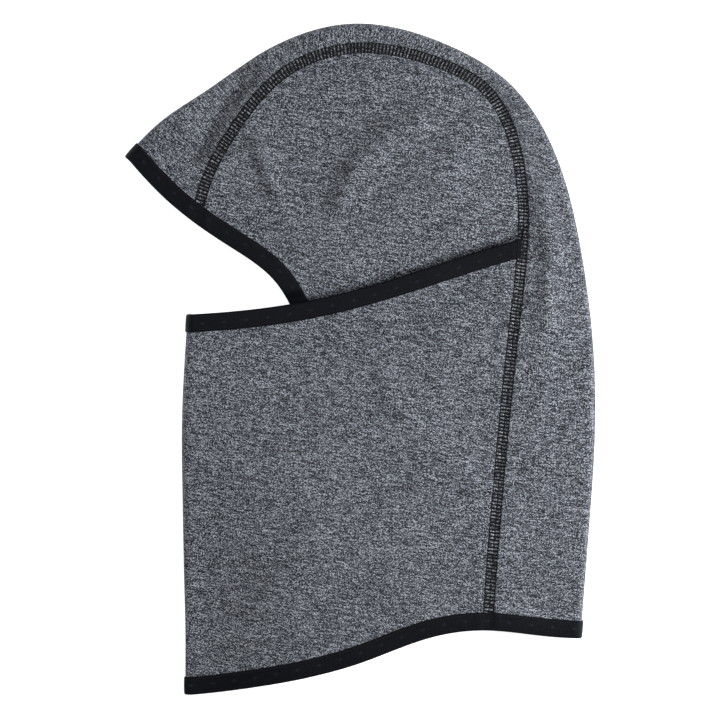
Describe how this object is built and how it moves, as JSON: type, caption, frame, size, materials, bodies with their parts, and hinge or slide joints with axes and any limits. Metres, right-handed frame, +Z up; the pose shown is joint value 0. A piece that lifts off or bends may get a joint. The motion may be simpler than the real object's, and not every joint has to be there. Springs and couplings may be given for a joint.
{
  "type": "balaclava",
  "caption": "Hinged balaclava for skiing, folded flat on its side: a hood with a crown gusset, and a neck and mask panel whose bound upper edge pulls down from the nose.",
  "frame": {"origin": "on the surface it lies on, under the middle of its outline", "axes": "+Y to the crown, +X to the back of the head, -X to the face, +Z up from the surface, through the wearer's left side"},
  "size_m": [0.2814, 0.4006, 0.016],
  "materials": {
    "heather_jersey": "matte heather stretch jersey, brushed inside",
    "fold_over_elastic": "near-black ribbed elastic tape",
    "seam_thread": "textured polyester thread",
    "binding_thread": "twisted polyester thread",
    "label_satin": "woven satin"
  },
  "bodies": {
    "hood": {"crown_gusset": "heather_jersey", "left_side_panel": "heather_jersey", "right_side_panel": "heather_jersey", "mask_panel": "heather_jersey", "face_binding": "fold_over_elastic", "hem_binding": "fold_over_elastic", "face_binding_stitches": "binding_thread", "hem_binding_stitches": "binding_thread", "left_seam_needle_threads": "seam_thread", "left_seam_cover_thread": "seam_thread", "left_seam_looper_thread": "seam_thread", "right_seam_needle_threads": "seam_thread", "right_seam_cover_thread": "seam_thread", "right_seam_looper_thread": "seam_thread", "care_label": "label_satin"},
    "mask_rim": {"mask_rim": "fold_over_elastic", "mask_rim_stitches": "binding_thread"}
  },
  "joints": [
    {"name": "mask_pull_down", "type": "hinge", "parent": "hood", "child": "mask_rim", "pos_m": [0.0959, 0.0665, 0.008], "axis": [0, 0, 1], "range_deg": [0, 15], "deforming": ["mask_panel"]}
  ]
}
